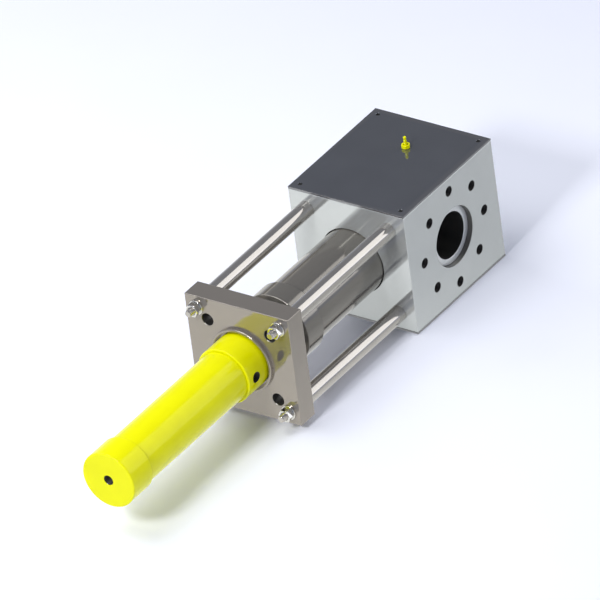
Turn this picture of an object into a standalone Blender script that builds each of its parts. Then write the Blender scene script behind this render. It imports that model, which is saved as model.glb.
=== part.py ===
"""Gate valve with a round ram, closed and opened by a hydraulic cylinder.

A ported block holds the seats and the ram's seals. Four tie rods carry an end plate, and the
cylinder is screwed into that plate. The cylinder's rod pushes the ram across the port.

Frame: +Z up, +X along the port, -Y towards the cylinder. The origin is the centre of the block's
underside, straight below the middle of the port. The ram is fully back, so the valve is open.
"""
import bpy
import bmesh
from math import cos, sin, pi, radians
from mathutils import Vector

MM = 0.001

# Driving dimensions -------------------------------------------------------------------------
GAP = 0.3 * MM                      # clearance between neighbouring solids
BEYOND = 2 * MM                     # how far a cutter reaches past the face it opens

BODY_X = 208 * MM                   # face to face, along the port
BODY_Y = 236 * MM
BODY_HEIGHT = 208 * MM              # over both covers
COVER_THICKNESS = 3 * MM
EDGE_BREAK = 0.8 * MM

PORT_RADIUS = 37 * MM
SEAT_RADIUS = 47 * MM               # outside of the seat rings
SEAT_RECESS = 8 * MM                # seat face below the port face
BOLT_CIRCLE = 80 * MM               # radius of the flange bolt circle
BOLT_COUNT = 8
BOLT_HOLE_RADIUS = 7 * MM
BOLT_HOLE_DEPTH = 26 * MM
SEAT_START = 20 * MM                # the rings before the ram's bore is cut through them
SEAT_GROOVE = (76 * MM, 81 * MM, SEAT_RADIUS - 3.5 * MM)   # x from, x to and floor radius

RAM_RADIUS = 54 * MM
RAM_STROKE = 120 * MM
RAM_TIP_Y = -49 * MM                # fully back, just clear of the seats
COLLAR_RADIUS = 59.8 * MM
COLLAR_LENGTH = 40 * MM
COLLAR_WEB = 20 * MM
COLLAR_SCREW_CIRCLE = 44 * MM       # radius of the circle of four screws, at 45 degrees
COLLAR_SCREW_RADIUS = 5 * MM
COLLAR_SCREW_HEAD = 8 * MM
COLLAR_SCREW_REACH = 22 * MM        # into the ram

YOKE_LENGTH = 258 * MM              # block to end plate
TIE_ROD_OFFSET = 73.4 * MM          # each tie rod from the ram's axis, sideways and up
TIE_ROD_RADIUS = 13 * MM
TIE_THREAD_RADIUS = 10 * MM         # the end screwed into the block
TIE_THREAD_LENGTH = 35 * MM
STUD_RADIUS = 6 * MM                # the end that carries the nut
STUD_REACH = 23 * MM                # stud past the plate's face
NUT_ACROSS_FLATS = 19 * MM
NUT_HEIGHT = 10.8 * MM
WASHER_RADIUS = 12 * MM
WASHER_THICKNESS = 2.5 * MM

PLATE_SIDE = 186 * MM
PLATE_THICKNESS = 35.6 * MM
PLATE_HOLE_OFFSET = 55.9 * MM
PLATE_HOLE_RADIUS = 10.3 * MM
BOSS_RADIUS = 54 * MM               # raised ring round the cylinder
BOSS_BORE = 49.8 * MM
BOSS_HEIGHT = 6 * MM
BOSS_RECESS = 3 * MM                # the ring's bore below the plate's face

CYLINDER_BORE = 31.5 * MM
TUBE_RADIUS = 42.2 * MM
HEAD_RADIUS = 46.3 * MM
CAP_RADIUS = 45.9 * MM
NOSE_RADIUS = 35 * MM               # threaded nose of the head, through the end plate
LOCKNUT_RADIUS = 47 * MM
LOCKNUT_THICKNESS = 12 * MM
OIL_PORT_RADIUS = 8 * MM
ROD_RADIUS = 18 * MM
ROD_BORE = ROD_RADIUS + 0.6 * MM
ROD_HEAD_RADIUS = 32 * MM           # in the collar, between its web and the ram
ROD_HEAD_LENGTH = 16 * MM
ROD_THREAD = 12 * MM                # the end that carries the piston and its nut
PISTON_LENGTH = 46 * MM
PISTON_RADIUS = CYLINDER_BORE - 0.4 * MM
PISTON_NUT_LENGTH = 14 * MM
PISTON_NUT_FLATS = 36 * MM

SCREW_INSET = 13.5 * MM             # cover screws from the block's sides
SCREW_HEAD_RADIUS = 3.2 * MM
SCREW_HEAD_DEPTH = 2 * MM
SCREW_SHANK = 2 * MM
SCREW_LENGTH = 15 * MM
SCREW_HOLE = SCREW_SHANK + GAP
FITTING_Y = 45 * MM                 # bleed fitting on the top cover
FITTING_THREAD = 4.2 * MM
FITTING_DEPTH = 14 * MM             # its thread below the cover's top
FITTING_HOLE = FITTING_THREAD + 0.4 * MM
FITTING_FLATS = 12.4 * MM
BLEED_PASSAGE = 2.5 * MM

LARGE, SMALL = 24, 12               # sides of round shapes; both divide by six for the hexagons

# Places worked out from them ----------------------------------------------------------------
AXIS_Z = BODY_HEIGHT / 2
BODY_FRONT = -BODY_Y / 2
PLATE_BACK = BODY_FRONT - YOKE_LENGTH
PLATE_FRONT = PLATE_BACK - PLATE_THICKNESS
RAM_BORE = RAM_RADIUS + 0.5 * MM
RING_BORE = RAM_RADIUS + GAP                     # inside of the rings that touch the ram
CHAMBER_END = RAM_TIP_Y + RAM_STROKE + 3 * MM
SEAT_FACE = BODY_X / 2 - SEAT_RECESS
COLLAR_FRONT = -284.5 * MM
COLLAR_BACK = COLLAR_FRONT - COLLAR_LENGTH
RAM_REAR = COLLAR_BACK + COLLAR_WEB
HEAD_SEAT = PLATE_FRONT + BOSS_RECESS            # the head's shoulder rests here
HEAD_BACK = PLATE_FRONT - 51 * MM
TUBE_BACK = HEAD_BACK - 252.7 * MM
CAP_BACK = TUBE_BACK - 50.7 * MM
NOSE_END = PLATE_BACK + GAP + LOCKNUT_THICKNESS + 2 * MM
PISTON_BACK = TUBE_BACK + 40 * MM
PISTON_FRONT = PISTON_BACK + PISTON_LENGTH
ROD_END = PISTON_BACK - GAP - PISTON_NUT_LENGTH - 1.5 * MM
HEAD_SPIGOT_END = PISTON_FRONT + RAM_STROKE + 1 * MM
CAP_SPIGOT_END = ROD_END - 1.5 * MM
SPIGOT_RADIUS = CYLINDER_BORE - GAP
OIL_PASSAGE = 24 * MM                            # bore round the rod, behind the rod seal
SIDE_PORT_Y = PLATE_FRONT - 32 * MM

# Rings that the block holds round the ram: groove start and end from the front face, groove radius
WIPER_GROOVE = (5 * MM, 13 * MM, 61 * MM)
FRONT_SEAL_GROOVE = (18 * MM, 28 * MM, 62.5 * MM)
REAR_SEAL_GROOVE = (32 * MM, 42 * MM, 62.5 * MM)
GUIDE_GROOVE = (46 * MM, 60 * MM, 57.5 * MM)

# Rings in the cylinder head, as y from, y to and groove radius
ROD_WIPER_GROOVE = (NOSE_END - 8 * MM, NOSE_END, 24.5 * MM)
ROD_BUSH_GROOVE = (NOSE_END - 40 * MM, NOSE_END - 10 * MM, 22.5 * MM)
ROD_SEAL_GROOVE = (NOSE_END - 55 * MM, NOSE_END - 45 * MM, 25 * MM)
O_RING_WIDTH = 4.2 * MM
O_RING_DEPTH = 3 * MM

STEEL = ("machined_steel", (0.42, 0.43, 0.42), 0.32, 1.0)
POLISHED = ("polished_steel", (0.62, 0.60, 0.56), 0.12, 1.0)
COVER = ("dark_cover", (0.09, 0.10, 0.13), 0.25, 0.6)
YELLOW = ("yellow_paint", (0.95, 0.93, 0.02), 0.25, 0.0)
DARK = ("dark_steel", (0.06, 0.06, 0.065), 0.4, 0.9)
BRONZE = ("bronze", (0.55, 0.36, 0.16), 0.35, 1.0)
RUBBER = ("rubber", (0.02, 0.02, 0.02), 0.6, 0.0)
POLYMER = ("bearing_polymer", (0.12, 0.20, 0.16), 0.5, 0.0)

AXES = {
    "X": (Vector((0, 1, 0)), Vector((0, 0, 1)), Vector((1, 0, 0))),
    "Y": (Vector((1, 0, 0)), Vector((0, 0, 1)), Vector((0, 1, 0))),
    "Z": (Vector((1, 0, 0)), Vector((0, 1, 0)), Vector((0, 0, 1))),
}


# Modelling helpers --------------------------------------------------------------------------
def material(finish):
    name, colour, roughness, metallic = finish
    found = bpy.data.materials.get(name)
    if found:
        return found
    made = bpy.data.materials.new(name)
    made.use_nodes = True
    shader = made.node_tree.nodes["Principled BSDF"]
    shader.inputs["Base Color"].default_value = (*colour, 1.0)
    shader.inputs["Roughness"].default_value = roughness
    shader.inputs["Metallic"].default_value = metallic
    return made


def hexagon(flat_to_flat, angle):
    """Distance from the centre to a hexagon's side, at an angle measured from a corner."""
    return flat_to_flat / 2 / cos((angle % (pi / 3)) - pi / 6)


def ring(bm, radius, along, sides, axis, centre):
    """One ring of a turned shape. A radius of ("hex", width) or ("hex", width, limit) is six-sided."""
    across, up, forward = AXES[axis]
    middle = Vector(centre) + forward * along
    if radius == 0:
        return [bm.verts.new(middle)]
    points = []
    for step in range(sides):
        angle = 2 * pi * step / sides
        reach = radius
        if isinstance(radius, tuple):
            reach = hexagon(radius[1], angle)
            if len(radius) > 2:
                reach = min(reach, radius[2])
        points.append(bm.verts.new(middle + (across * cos(angle) + up * sin(angle)) * reach))
    return points


def skin(bm, one, other):
    """Joins two rings with faces; a ring of one point makes a fan."""
    if len(one) == 1:
        one, other = other, one
    count = len(one)
    for step in range(count):
        after = (step + 1) % count
        if len(other) == 1:
            bm.faces.new((one[step], one[after], other[0]))
        else:
            bm.faces.new((one[step], one[after], other[after], other[step]))


def turn(bm, profile, sides, axis="Y", centre=(0, 0, 0)):
    """Turns a profile of (radius, distance along the axis). One that starts off the axis is a ring."""
    rings = [ring(bm, radius, along, sides, axis, centre) for radius, along in profile]
    if profile[0][0] != 0:
        rings.append(rings[0])
    for one, other in zip(rings, rings[1:]):
        skin(bm, one, other)


def plug(bm, radius, start, end, sides, axis, centre=(0, 0, 0), mouth=0.0):
    """A round bar from start to end, as a cutter. A mouth flares it by that much up to its end."""
    if mouth:
        way = 1 if end > start else -1
        wide, beyond = radius + mouth, end + way * BEYOND
        profile = [(0, start), (radius, start), (radius, end - way * mouth), (wide, end), (wide, beyond),
                   (0, beyond)]
    else:
        profile = [(0, start), (radius, start), (radius, end), (0, end)]
    turn(bm, profile, sides, axis, centre)


def block(bm, low, high, edge=0.0):
    """A box between two corners, with its edges broken."""
    made = bmesh.ops.create_cube(bm, size=1.0)["verts"]
    for vert in made:
        vert.co = [low[i] if vert.co[i] < 0 else high[i] for i in range(3)]
    if edge:
        edges = list({e for v in made for e in v.link_edges})
        bmesh.ops.bevel(bm, geom=edges, offset=edge, segments=1, affect="EDGES")


def add(name, bm, finish, location=(0, 0, AXIS_Z), parent=None):
    bmesh.ops.recalc_face_normals(bm, faces=bm.faces)
    mesh = bpy.data.meshes.new(name)
    bm.to_mesh(mesh)
    bm.free()
    mesh.shade_smooth()
    mesh.set_sharp_from_angle(angle=radians(30))
    mesh.materials.append(material(finish))
    made = bpy.data.objects.new(name, mesh)
    bpy.context.scene.collection.objects.link(made)
    made.location = location
    if parent:
        made.parent = parent
        made.location = Vector(location) - parent.location
    return made


def turned(name, profile, finish, sides=LARGE, axis="Y", location=(0, 0, AXIS_Z), parent=None):
    bm = bmesh.new()
    turn(bm, profile, sides, axis)
    return add(name, bm, finish, location, parent)


def tool(name, bm, location=(0, 0, AXIS_Z), parent=None):
    """A cutter or a boss that a Boolean uses; it isn't a piece of the valve."""
    made = add(name, bm, STEEL, location, parent)
    made.hide_render = True
    made.display_type = "WIRE"
    return made


def combine(piece, helper, operation="DIFFERENCE"):
    step = piece.modifiers.new(helper.name, "BOOLEAN")
    step.operation = operation
    step.solver = "EXACT"
    step.object = helper


def ring_profile(inner, outer, start, end, corner=0.0):
    """Closed section of a plain ring; corner breaks its outer edges."""
    if not corner:
        return [(inner, start), (outer, start), (outer, end), (inner, end)]
    return [(inner, start), (outer - corner, start), (outer, start + corner),
            (outer, end - corner), (outer - corner, end), (inner, end)]


def corners(offset):
    """The four places at +-offset from the ram's axis, from the top right round to the bottom right."""
    return [(offset, offset), (-offset, offset), (-offset, -offset), (offset, -offset)]


# The block and its covers -------------------------------------------------------------------
def ram_bore_cutter():
    """The bore for the ram, with the grooves of its wiper, seals and guide band."""
    points = [(0, CHAMBER_END), (RAM_BORE - 2 * MM, CHAMBER_END), (RAM_BORE, CHAMBER_END - 2 * MM)]
    for near, far, radius in (GUIDE_GROOVE, REAR_SEAL_GROOVE, FRONT_SEAL_GROOVE, WIPER_GROOVE):
        points += [(RAM_BORE, BODY_FRONT + far), (radius, BODY_FRONT + far),
                   (radius, BODY_FRONT + near), (RAM_BORE, BODY_FRONT + near)]
    points += [(RAM_BORE, BODY_FRONT - BEYOND), (0, BODY_FRONT - BEYOND)]
    bm = bmesh.new()
    turn(bm, points, LARGE)
    return tool("cut_ram_bore", bm)


def port_bore_cutter():
    bm = bmesh.new()
    reach = BODY_X / 2 + BEYOND
    plug(bm, SEAT_RADIUS + GAP, -reach, reach, LARGE, "X")
    return tool("cut_port_bore", bm)


def block_hole_cutters():
    """Flange bolt holes in both port faces, tie rod and cover screw holes, and the bleed passage."""
    bm = bmesh.new()
    spare, chamfer = 2 * MM, 1 * MM
    for step in range(BOLT_COUNT):
        angle = 2 * pi * step / BOLT_COUNT
        centre = (0, BOLT_CIRCLE * cos(angle), BOLT_CIRCLE * sin(angle))
        for face in (BODY_X / 2, -BODY_X / 2):
            floor = face - BOLT_HOLE_DEPTH if face > 0 else face + BOLT_HOLE_DEPTH
            plug(bm, BOLT_HOLE_RADIUS, floor, face, SMALL, "X", centre, chamfer)
    for x, z in corners(TIE_ROD_OFFSET):
        floor = BODY_FRONT + TIE_THREAD_LENGTH + spare
        plug(bm, TIE_THREAD_RADIUS + GAP, floor, BODY_FRONT - BEYOND, SMALL, "Y", (x, 0, z))
    for x, y in cover_screw_places():
        for side in (1, -1):
            floor = side * (AXIS_Z - SCREW_LENGTH - spare)
            plug(bm, SCREW_HOLE, floor, side * AXIS_Z, SMALL, "Z", (x, y, 0))
    plug(bm, FITTING_HOLE, AXIS_Z - FITTING_DEPTH - spare, AXIS_Z, SMALL, "Z", (0, FITTING_Y, 0))
    return tool("cut_block_holes", bm)


def bleed_passage_cutter():
    bm = bmesh.new()
    inside_chamber, inside_hole = RAM_BORE - 6 * MM, AXIS_Z - FITTING_DEPTH + 1 * MM
    plug(bm, BLEED_PASSAGE, inside_chamber, inside_hole, SMALL, "Z", (0, FITTING_Y, 0))
    return tool("cut_bleed_passage", bm)


def cover_screw_places():
    x, y = BODY_X / 2 - SCREW_INSET, BODY_Y / 2 - SCREW_INSET
    return [(x, -y), (x, y), (-x, y), (-x, -y)]


def make_block():
    bm = bmesh.new()
    half = AXIS_Z - COVER_THICKNESS - GAP
    block(bm, (-BODY_X / 2, BODY_FRONT, -half), (BODY_X / 2, BODY_Y / 2, half), EDGE_BREAK)
    made = add("body_block", bm, STEEL)
    for cutter in (ram_bore_cutter(), port_bore_cutter(), block_hole_cutters(), bleed_passage_cutter()):
        combine(made, cutter)


def make_cover(name, side):
    """A thin plate over the block's top (side 1) or underside (side -1)."""
    bm = bmesh.new()
    inner, outer = side * (AXIS_Z - COVER_THICKNESS), side * AXIS_Z
    low, high = min(inner, outer), max(inner, outer)
    block(bm, (-BODY_X / 2, BODY_FRONT, low), (BODY_X / 2, BODY_Y / 2, high), 0.5 * MM)
    made = add(name, bm, COVER)
    bm = bmesh.new()
    lip, below = side * (AXIS_Z - SCREW_HEAD_DEPTH - GAP), side * (AXIS_Z - COVER_THICKNESS - BEYOND)
    above = side * (AXIS_Z + BEYOND)
    wide = SCREW_HEAD_RADIUS + GAP
    profile = [(0, below), (SCREW_HOLE, below), (SCREW_HOLE, lip), (wide, lip), (wide, above), (0, above)]
    for x, y in cover_screw_places():
        turn(bm, profile, SMALL, "Z", (x, y, 0))
    if side > 0:
        plug(bm, FITTING_HOLE, below, above, SMALL, "Z", (0, FITTING_Y, 0))
    combine(made, tool("cut_" + name, bm))


def make_cover_screws(name, side):
    head, tip = side * AXIS_Z, side * (AXIS_Z - SCREW_LENGTH)
    under = side * (AXIS_Z - SCREW_HEAD_DEPTH)
    socket, floor = ("hex", 2.8 * MM), side * (AXIS_Z - 1.4 * MM)
    profile = [
        (0, tip), (SCREW_SHANK, tip), (SCREW_SHANK, under), (SCREW_HEAD_RADIUS, under),
        (SCREW_HEAD_RADIUS, head), (socket, head), (socket, floor), (0, floor),
    ]
    for number, (x, y) in enumerate(cover_screw_places(), 1):
        turned(f"{name}_{number}", profile, DARK, SMALL, "Z", (x, y, AXIS_Z))


def make_bleed_fitting():
    """Screwed into the block through the top cover: a six-sided collar with a thin stem in a recess."""
    base = BODY_HEIGHT
    bottom, rim, recess_floor, top = base - FITTING_DEPTH, base + 6 * MM, base + 3.4 * MM, base + 19.4 * MM
    recess, stem, tip, edge = 4 * MM, 2.3 * MM, 3 * MM, 1 * MM
    collar = ("hex", FITTING_FLATS)
    rounded = ("hex", FITTING_FLATS, FITTING_FLATS * 0.524)
    profile = [
        (0, bottom), (FITTING_THREAD, bottom), (FITTING_THREAD, base + GAP), (rounded, base + GAP),
        (collar, base + edge), (collar, rim - edge), (rounded, rim), (recess, rim),
        (recess, recess_floor), (stem, recess_floor), (stem, top - 4.4 * MM),
        (tip, top - 3.4 * MM), (tip, top - 1.4 * MM), (tip - 1.2 * MM, top), (0, top),
    ]
    turned("bleed_fitting", profile, YELLOW, SMALL, "Z", (0, FITTING_Y, 0))


# Seats and the rings round the ram ----------------------------------------------------------
def make_seat(name, side):
    """A ring in the port bore, cut to a saddle where it meets the ram."""
    groove_in, groove_out, groove_floor = SEAT_GROOVE
    outer_edge, inner_edge = 0.6 * MM, 0.8 * MM
    profile = [
        (PORT_RADIUS, SEAT_START), (SEAT_RADIUS, SEAT_START), (SEAT_RADIUS, groove_in),
        (groove_floor, groove_in), (groove_floor, groove_out), (SEAT_RADIUS, groove_out),
        (SEAT_RADIUS, SEAT_FACE - outer_edge), (SEAT_RADIUS - outer_edge, SEAT_FACE),
        (PORT_RADIUS + inner_edge, SEAT_FACE), (PORT_RADIUS, SEAT_FACE - inner_edge),
    ]
    seat = turned("seat_ring_" + name, [(r, side * x) for r, x in profile], STEEL, LARGE, "X")
    bm = bmesh.new()
    plug(bm, RAM_BORE, -SEAT_RADIUS - BEYOND, SEAT_RADIUS + BEYOND, LARGE, "Y")
    combine(seat, tool("cut_saddle_" + name, bm))
    seal = ring_profile(groove_floor + GAP, SEAT_RADIUS, groove_in + GAP, groove_out - GAP, 0.8 * MM)
    turned("seat_seal_" + name, [(r, side * x) for r, x in seal], RUBBER, LARGE, "X")


def make_ram_rings():
    """Wiper, two lip seals and the guide band, each in its groove in the block."""
    def span(groove):
        return BODY_FRONT + groove[0] + GAP, BODY_FRONT + groove[1] - GAP, groove[2] - GAP

    start, end, outer = span(WIPER_GROOVE)
    turned("ram_wiper", [(RING_BORE, start + 1 * MM), (RING_BORE + 3 * MM, start), (outer, start),
                         (outer, end), (RING_BORE + 1.5 * MM, end), (RING_BORE, end - 3 * MM)], RUBBER)
    for name, groove in (("ram_seal_front", FRONT_SEAL_GROOVE), ("ram_seal_rear", REAR_SEAL_GROOVE)):
        start, end, outer = span(groove)
        middle = (RING_BORE + outer) / 2
        turned(name, [(RING_BORE, start), (outer, start), (outer, end), (middle + 1 * MM, end),
                      (middle, end - 3 * MM), (middle - 1 * MM, end), (RING_BORE, end)], RUBBER)
    start, end, outer = span(GUIDE_GROOVE)
    turned("ram_guide_band", ring_profile(RING_BORE, outer, start, end), POLYMER)


# The ram and what moves with it -------------------------------------------------------------
def make_ram(slide):
    pocket, pocket_floor = ROD_HEAD_RADIUS + 1 * MM, RAM_REAR + ROD_HEAD_LENGTH + 1 * MM
    lead, edge = 3 * MM, 1 * MM
    ram = turned("ram", [
        (0, RAM_TIP_Y), (RAM_RADIUS - lead, RAM_TIP_Y), (RAM_RADIUS, RAM_TIP_Y - lead),
        (RAM_RADIUS, RAM_REAR + edge), (RAM_RADIUS - edge, RAM_REAR), (pocket, RAM_REAR),
        (pocket, pocket_floor), (0, pocket_floor),
    ], POLISHED, parent=slide)
    bm = bmesh.new()
    floor = RAM_REAR + COLLAR_SCREW_REACH + 4 * MM
    for x, z in collar_screw_places():
        plug(bm, COLLAR_SCREW_RADIUS + GAP, floor, RAM_REAR - BEYOND, SMALL, "Y", (x, 0, z))
    combine(ram, tool("cut_ram_holes", bm, parent=slide))


def collar_screw_places():
    return corners(COLLAR_SCREW_CIRCLE * cos(pi / 4))


def make_collar(slide):
    """Cup screwed to the ram's rear end; its web holds the piston rod's head."""
    inner = RAM_RADIUS + GAP
    web = RAM_REAR - GAP
    edge = 1.5 * MM
    collar = turned("ram_collar", [
        (ROD_BORE, COLLAR_BACK), (COLLAR_RADIUS - edge, COLLAR_BACK), (COLLAR_RADIUS, COLLAR_BACK + edge),
        (COLLAR_RADIUS, COLLAR_FRONT - edge), (COLLAR_RADIUS - edge, COLLAR_FRONT), (inner, COLLAR_FRONT),
        (inner, web), (ROD_BORE, web),
    ], POLISHED, parent=slide)
    bm = bmesh.new()
    head_height, spare = 10 * MM, 0.6 * MM
    head_floor = COLLAR_BACK + head_height + spare
    head_hole, hole = COLLAR_SCREW_HEAD + 0.4 * MM, COLLAR_SCREW_RADIUS + GAP
    start, end = COLLAR_BACK - BEYOND, web + BEYOND
    for x, z in collar_screw_places():
        turn(bm, [(0, start), (head_hole, start), (head_hole, head_floor), (hole, head_floor), (hole, end),
                  (0, end)], SMALL, "Y", (x, 0, z))
    combine(collar, tool("cut_collar_holes", bm, parent=slide))
    make_collar_screws(slide, head_floor - GAP, head_height)


def make_collar_screws(slide, under, head_height):
    tip, top = RAM_REAR + COLLAR_SCREW_REACH, under - head_height
    edge, socket, socket_floor = 0.8 * MM, ("hex", 8 * MM), top + 5 * MM
    profile = [
        (0, tip), (COLLAR_SCREW_RADIUS, tip), (COLLAR_SCREW_RADIUS, under), (COLLAR_SCREW_HEAD, under),
        (COLLAR_SCREW_HEAD, top + edge), (COLLAR_SCREW_HEAD - edge, top), (socket, top),
        (socket, socket_floor), (0, socket_floor),
    ]
    for number, (x, z) in enumerate(collar_screw_places(), 1):
        turned(f"collar_screw_{number}", profile, DARK, SMALL, "Y", (x, 0, AXIS_Z + z), slide)


def make_piston_rod(slide):
    head_edge, end_edge = 1 * MM, 1.5 * MM
    head_back = RAM_REAR + GAP
    head_front = head_back + ROD_HEAD_LENGTH - 1 * MM
    shoulder = PISTON_FRONT + GAP
    turned("piston_rod", [
        (0, head_front), (ROD_HEAD_RADIUS - head_edge, head_front),
        (ROD_HEAD_RADIUS, head_front - head_edge), (ROD_HEAD_RADIUS, head_back),
        (ROD_RADIUS, head_back), (ROD_RADIUS, shoulder),
        (ROD_THREAD, shoulder), (ROD_THREAD, ROD_END + end_edge), (ROD_THREAD - end_edge, ROD_END),
        (0, ROD_END),
    ], POLISHED, parent=slide)


def make_piston(slide):
    """Piston with its seal and wear ring, held on the rod by a nut."""
    seal = (PISTON_FRONT - 16 * MM, PISTON_FRONT - 8 * MM, 25 * MM)
    wear = (PISTON_BACK + 8 * MM, PISTON_BACK + 20 * MM, 28.5 * MM)
    bore, radius, edge = ROD_THREAD + GAP, PISTON_RADIUS, 1.5 * MM
    turned("piston", [
        (bore, PISTON_BACK), (radius - edge, PISTON_BACK), (radius, PISTON_BACK + edge),
        (radius, wear[0]), (wear[2], wear[0]), (wear[2], wear[1]), (radius, wear[1]),
        (radius, seal[0]), (seal[2], seal[0]), (seal[2], seal[1]), (radius, seal[1]),
        (radius, PISTON_FRONT - edge), (radius - edge, PISTON_FRONT), (bore, PISTON_FRONT),
    ], STEEL, parent=slide)
    for name, groove, finish in (("piston_seal", seal, RUBBER), ("piston_wear_ring", wear, POLYMER)):
        section = ring_profile(groove[2] + GAP, CYLINDER_BORE - GAP, groove[0] + GAP, groove[1] - GAP)
        turned(name, section, finish, parent=slide)
    face = PISTON_BACK - GAP
    nut = nut_profile(PISTON_NUT_FLATS, bore, face, face - PISTON_NUT_LENGTH)
    turned("piston_nut", nut, DARK, parent=slide)


def nut_profile(across_flats, bore, seat, top):
    """Closed section of a six-sided nut that faces -Y; its far edge is chamfered."""
    flats, rounded = ("hex", across_flats), ("hex", across_flats, across_flats * 0.52)
    outer_edge, inner_edge = 1.2 * MM, 0.8 * MM
    return [(bore, seat), (flats, seat), (flats, top + outer_edge), (rounded, top),
            (bore + inner_edge, top), (bore, top + inner_edge)]


# Yoke: tie rods, nuts and the end plate -----------------------------------------------------
def make_tie_rods():
    shoulder, plate = BODY_FRONT - GAP, PLATE_BACK + GAP
    screwed, stud = BODY_FRONT + TIE_THREAD_LENGTH, PLATE_FRONT - STUD_REACH
    edge = 1 * MM
    profile = [
        (0, screwed), (TIE_THREAD_RADIUS - edge, screwed), (TIE_THREAD_RADIUS, screwed - edge),
        (TIE_THREAD_RADIUS, shoulder), (TIE_ROD_RADIUS, shoulder), (TIE_ROD_RADIUS, plate),
        (STUD_RADIUS, plate), (STUD_RADIUS, stud + edge), (STUD_RADIUS - edge, stud), (0, stud),
    ]
    bore = STUD_RADIUS + GAP
    washer_seat = PLATE_FRONT - GAP
    washer_top = washer_seat - WASHER_THICKNESS
    washer = ring_profile(bore, WASHER_RADIUS, washer_top, washer_seat, 0.3 * MM)
    nut_seat = washer_top - GAP
    nut = nut_profile(NUT_ACROSS_FLATS, bore, nut_seat, nut_seat - NUT_HEIGHT)
    for number, (x, z) in enumerate(corners(TIE_ROD_OFFSET), 1):
        place = (x, 0, AXIS_Z + z)
        turned(f"tie_rod_{number}", profile, POLISHED, SMALL, location=place)
        turned(f"tie_rod_washer_{number}", washer, POLISHED, SMALL, location=place)
        turned(f"tie_rod_nut_{number}", nut, POLISHED, SMALL, location=place)


def make_end_plate():
    """Square plate with a raised ring round the cylinder, four stud holes and four plain holes."""
    half, edge = PLATE_SIDE / 2, 1 * MM
    bm = bmesh.new()
    block(bm, (-half, PLATE_FRONT, -half), (half, PLATE_BACK, half), edge)
    plate = add("end_plate", bm, POLISHED)
    bm = bmesh.new()
    root, rim, rim_edge = PLATE_FRONT + 10 * MM, PLATE_FRONT - BOSS_HEIGHT, 1.5 * MM
    turn(bm, [(0, root), (BOSS_RADIUS, root), (BOSS_RADIUS, rim + rim_edge), (BOSS_RADIUS - rim_edge, rim),
              (0, rim)], LARGE)
    combine(plate, tool("plate_boss", bm), "UNION")
    bm = bmesh.new()
    nose_bore, end = NOSE_RADIUS + GAP, PLATE_BACK + BEYOND
    turn(bm, [(0, rim - BEYOND), (BOSS_BORE, rim - BEYOND), (BOSS_BORE, HEAD_SEAT), (nose_bore, HEAD_SEAT),
              (nose_bore, end), (0, end)], LARGE)
    for offset, radius in ((TIE_ROD_OFFSET, STUD_RADIUS + GAP), (PLATE_HOLE_OFFSET, PLATE_HOLE_RADIUS)):
        for x, z in corners(offset):
            plug(bm, radius, PLATE_FRONT - BEYOND, end, SMALL, "Y", (x, 0, z))
    combine(plate, tool("cut_plate_holes", bm))


# The hydraulic cylinder ---------------------------------------------------------------------
def make_cylinder_head():
    """Head with a threaded nose through the end plate and a spigot in the tube."""
    edge = 1.5 * MM
    shoulder = HEAD_SEAT - GAP
    groove = HEAD_BACK - 16 * MM
    floor = SPIGOT_RADIUS - O_RING_DEPTH
    outside = [
        (NOSE_RADIUS - edge, NOSE_END), (NOSE_RADIUS, NOSE_END - edge), (NOSE_RADIUS, shoulder),
        (HEAD_RADIUS, shoulder), (HEAD_RADIUS, HEAD_BACK + edge), (HEAD_RADIUS - edge, HEAD_BACK),
        (SPIGOT_RADIUS, HEAD_BACK), (SPIGOT_RADIUS, groove), (floor, groove),
        (floor, groove - O_RING_WIDTH), (SPIGOT_RADIUS, groove - O_RING_WIDTH),
        (SPIGOT_RADIUS, HEAD_SPIGOT_END), (OIL_PASSAGE, HEAD_SPIGOT_END),
    ]
    passage = SIDE_PORT_Y + OIL_PORT_RADIUS + 4 * MM
    inside = [(OIL_PASSAGE, passage), (ROD_BORE, passage)]
    for back, front, radius in (ROD_SEAL_GROOVE, ROD_BUSH_GROOVE):
        inside += [(ROD_BORE, back), (radius, back), (radius, front), (ROD_BORE, front)]
    back, front, radius = ROD_WIPER_GROOVE
    inside += [(ROD_BORE, back), (radius, back), (radius, front)]
    head = turned("cylinder_head", outside + inside, YELLOW)
    bm = bmesh.new()
    inside, outside = OIL_PASSAGE - BEYOND, HEAD_RADIUS + BEYOND
    plug(bm, OIL_PORT_RADIUS, inside, outside, SMALL, "X", (0, SIDE_PORT_Y, 0))
    combine(head, tool("cut_side_port", bm))
    ring_end = groove - O_RING_WIDTH + GAP
    turned("head_o_ring", ring_profile(floor + GAP, SPIGOT_RADIUS, ring_end, groove - GAP), RUBBER)


def make_rod_rings():
    """Bush, seal and wiper that the head holds round the piston rod."""
    bore = ROD_RADIUS + GAP
    rings = (("rod_bush", ROD_BUSH_GROOVE, BRONZE), ("rod_seal", ROD_SEAL_GROOVE, RUBBER),
             ("rod_wiper", ROD_WIPER_GROOVE, RUBBER))
    for name, groove, finish in rings:
        back, front, radius = groove
        turned(name, ring_profile(bore, radius - GAP, back + GAP, front - GAP), finish)


def make_locknut():
    """Round nut on the head's nose, behind the end plate, with four spanner slots."""
    start = PLATE_BACK + GAP
    end = start + LOCKNUT_THICKNESS
    section = ring_profile(NOSE_RADIUS + GAP, LOCKNUT_RADIUS, start, end, 1 * MM)
    nut = turned("cylinder_locknut", section, DARK)
    bm = bmesh.new()
    deep, beyond, half = LOCKNUT_RADIUS - 5 * MM, LOCKNUT_RADIUS + BEYOND, 4 * MM
    low, high = start - BEYOND, end + BEYOND
    for near, far in ((deep, beyond), (-beyond, -deep)):
        block(bm, (near, low, -half), (far, high, half))
        block(bm, (-half, low, near), (half, high, far))
    combine(nut, tool("cut_spanner_slots", bm))


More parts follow.
